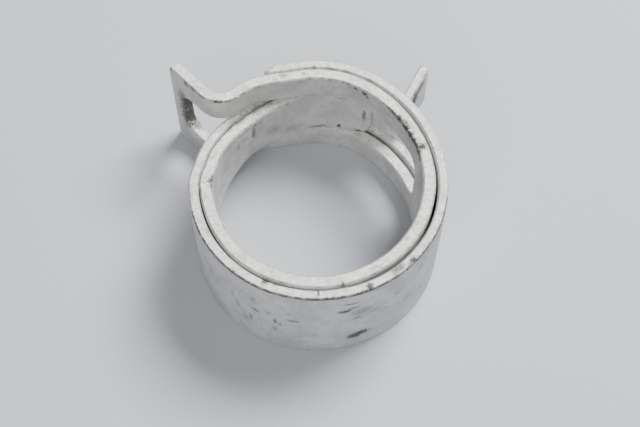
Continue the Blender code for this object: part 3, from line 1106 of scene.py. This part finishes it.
def shoulder_nicks(path):
    """Nicks of the upper inner edge, on the shoulder and beside it."""
    return [
        spot(path, 178.5, INNER_FACE, TOP - 1.45, (0.5, 0.3, 0.5), 0.8),
        spot(path, 182.0, INNER_FACE, TOP - 0.8, (0.5, 0.4, 0.6), 1.0),
        spot(path, 184.0, INNER_FACE + 0.3, TOP - 0.5, (0.35, 0.35, 0.35), 0.8),
        spot(path, 187.5, INNER_FACE, TOP - 0.1, (0.5, 0.25, 0.4), 0.7),
        spot(path, 203.5, INNER_FACE, TOP - 0.3, (0.9, 0.15, 0.3), 0.5),
    ]


def inner_crevice_painted_shade(path):
    """Painted shade on the inner strip in the crevice between the tongue and the rail, drawn as dark
    spots.
    """
    return [
        spot(path, 117.0, -INNER_FACE, TONGUE_TOP, (1.6, 0.5, 0.25), 0.6),
        spot(path, 126.0, -INNER_FACE, TONGUE_TOP, (1.6, 0.5, 0.25), 0.65),
        spot(path, 135.0, -INNER_FACE, TONGUE_TOP + 0.15, (1.6, 0.5, 0.3), 0.65),
        spot(path, 144.0, -INNER_FACE, TONGUE_TOP + 0.4, (1.5, 0.45, 0.35), 0.6),
        spot(path, 152.0, -INNER_FACE, TONGUE_TOP + 0.75, (1.2, 0.35, 0.35), 0.5),
    ]


def tongue_marks(path):
    """Smudges and chips on the tongue's inner face, and nicks of its upper edge near the end."""
    face = face_marks(path, INNER_FACE, INNER_SKIN, [
        (131.0, 8.9, 0.4, 1.3, 0.7),
        (129.5, 10.2, 0.3, 0.4, 0.6),
        (143.5, 8.7, 0.3, 0.6, 0.4),
        (126.0, 9.9, 0.3, 0.5, 0.3),
        (137.5, 8.9, 0.8, 0.5, 0.25),
        (152.0, 10.8, 0.7, 0.3, 0.3),
        (118.0, 6.5, 1.6, 1.2, 0.25),
        (104.0, 5.2, 1.6, 0.9, 0.3),
        (79.5, 4.5, 0.3, 0.45, 1.0),
        (91.0, 4.3, 1.4, 0.4, 0.6),
        (67.0, 4.3, 1.1, 0.45, 0.95),
        (65.6, 8.4, 0.35, 1.2, 0.75),
    ])
    edge = [
        spot(path, 78.0, INNER_FACE, TONGUE_TOP, (0.7, 0.3, 0.3), 0.75),
        spot(path, 71.5, INNER_FACE, TONGUE_TOP, (1.5, 0.2, 0.25), 0.6),
    ]
    return face + edge


def windowed_tang_chips(path):
    """Nicks from the windowed tang's tip to its bend, and a dark patch over the end of its window.
    """
    tip = path.lengths[-1] * MM
    window_end = tip - CROSSBAR_WIDTH * MM
    return [
        ((tip, 0.5, TOP - 0.3), (0.35, 0.4, 0.6), 1.0),
        ((tip - 0.3, INNER_FACE, TOP - 0.1), (0.4, 0.3, 0.3), 0.6),
        ((tip - 3.2, INNER_FACE, TOP - 0.4), (0.5, 0.3, 0.5), 0.75),
        ((tip - 4.4, INNER_FACE, TOP - 0.2), (0.5, 0.25, 0.3), 0.7),
        ((tip - 5.8, INNER_FACE, TOP - 0.1), (0.5, 0.25, 0.3), 0.6),
        ((tip - 7.6, INNER_FACE, TOP), (0.6, 0.3, 0.35), 1.0),
        ((tip - 8.8, INNER_FACE, TOP), (0.9, 0.2, 0.3), 0.75),
        ((tip - 10.4, INNER_FACE, TOP), (0.6, 0.2, 0.3), 0.65),
        ((window_end, 0.1, 9.0), (1.1, 1.6, 3.2), 1.0),
        ((window_end, 0.1, 6.2), (1.1, 1.6, 2.8), 1.0),
        ((window_end - 0.8, 0.2, 3.9), (0.9, 0.5, 0.4), 0.7),
        ((tip - 8.0, 0.0, 3.7), (1.0, 0.5, 0.3), 0.9),
    ]


def inner_chips_and_painted_shade(path):
    """All the chips of the inner strip, and its painted shade."""
    rails = inner_edge_nicks(path) + inner_rail_marks(path) + shoulder_nicks(path)
    return rails + inner_crevice_painted_shade(path) + tongue_marks(path) + windowed_tang_chips(path)


# ---------------------------------------------------------------- stage

FLOOR_SIZE = 3.0
FLOOR_DROP = 0.00002
FLOOR_COLOUR = (0.50, 0.52, 0.56, 1)
FLOOR_ROUGHNESS = 0.9
WORLD_STRENGTH = 0.22
KEY_PLACE = (0.17, 0.18, 0.36)
KEY_SIZE = 0.20
KEY_POWER = 4.0
FILL_PLACE = (-0.06, -0.30, 0.30)
FILL_SIZE = 0.30
FILL_POWER = 1.0

# Pitch in degrees, roll in radians, the rest in metres, and the lens in millimetres
CAMERA_PITCH = 62.06
CAMERA_ROLL = 0.0178
CAMERA_DISTANCE = 0.13577
CAMERA_AIM = (0.00034, -0.00507, 0.015)
CAMERA_LENS = 67.5
CAMERA_NEAR = 0.005


def make_floor():
    """A plain pale floor."""
    under = cad_bounds[0][2] - FLOOR_DROP
    bpy.ops.mesh.primitive_plane_add(size=FLOOR_SIZE, location=(0, 0, under))
    floor = bpy.context.object
    floor.name = "floor"
    material = bpy.data.materials.new("floor_paper")
    material.use_nodes = True
    shader = material.node_tree.nodes["Principled BSDF"]
    shader.inputs["Base Color"].default_value = FLOOR_COLOUR
    shader.inputs["Roughness"].default_value = FLOOR_ROUGHNESS
    floor.data.materials.append(material)


def make_light(name, place, size, power):
    """A white area light that looks at the ring."""
    light = bpy.data.lights.new(name, "AREA")
    light.energy = power
    light.size = size
    thing = bpy.data.objects.new(name, light)
    bpy.context.scene.collection.objects.link(thing)
    thing.location = place
    thing.rotation_mode = "QUATERNION"
    aim = Vector((0, 0, BAND_HEIGHT / 2)) - Vector(place)
    thing.rotation_quaternion = aim.to_track_quat("-Z", "Y")


def make_world():
    """Even white light from all round."""
    world = bpy.data.worlds.new("studio")
    world.use_nodes = True
    background = world.node_tree.nodes["Background"]
    background.inputs["Color"].default_value = (1, 1, 1, 1)
    background.inputs["Strength"].default_value = WORLD_STRENGTH
    bpy.context.scene.world = world


def make_camera():
    """Looks down at the ring from the front, slightly rolled."""
    pitch = math.radians(CAMERA_PITCH)
    forward = Vector((0, math.cos(pitch), -math.sin(pitch)))
    level = Vector((1, 0, 0))
    up = level.cross(forward)
    right = math.cos(CAMERA_ROLL) * level + math.sin(CAMERA_ROLL) * up
    top = math.cos(CAMERA_ROLL) * up - math.sin(CAMERA_ROLL) * level
    camera = bpy.data.cameras.new("camera")
    camera.lens = CAMERA_LENS
    camera.clip_start = CAMERA_NEAR
    thing = bpy.data.objects.new("camera", camera)
    bpy.context.scene.collection.objects.link(thing)
    matrix = Matrix((right, top, -forward)).transposed().to_4x4()
    matrix.translation = Vector(CAMERA_AIM) - CAMERA_DISTANCE * forward
    thing.matrix_world = matrix
    bpy.context.scene.camera = thing


def make_clamp():
    """Both strips, with their coatings, chips and painted shade."""
    group = spot_group()
    outer = outer_path()
    spots = outer_chips_and_painted_shade(outer)
    coat = coating("outer_coating", spots, group, OUTER_PALE, OUTER_DULL, 0)
    make_band("outer", outer, outer_outline(outer), OUTER_THICKNESS, OUTER_PIECES, spots, coat)
    inner = inner_path()
    spots = inner_chips_and_painted_shade(inner)
    coat = coating("inner_coating", spots, group, INNER_PALE, INNER_DULL, INNER_SHIFT)
    make_band("inner", inner, inner_outline(inner), INNER_THICKNESS, INNER_PIECES, spots, coat)


make_camera()
make_floor()
make_world()
make_light("key", KEY_PLACE, KEY_SIZE, KEY_POWER)
make_light("fill", FILL_PLACE, FILL_SIZE, FILL_POWER)
make_clamp()
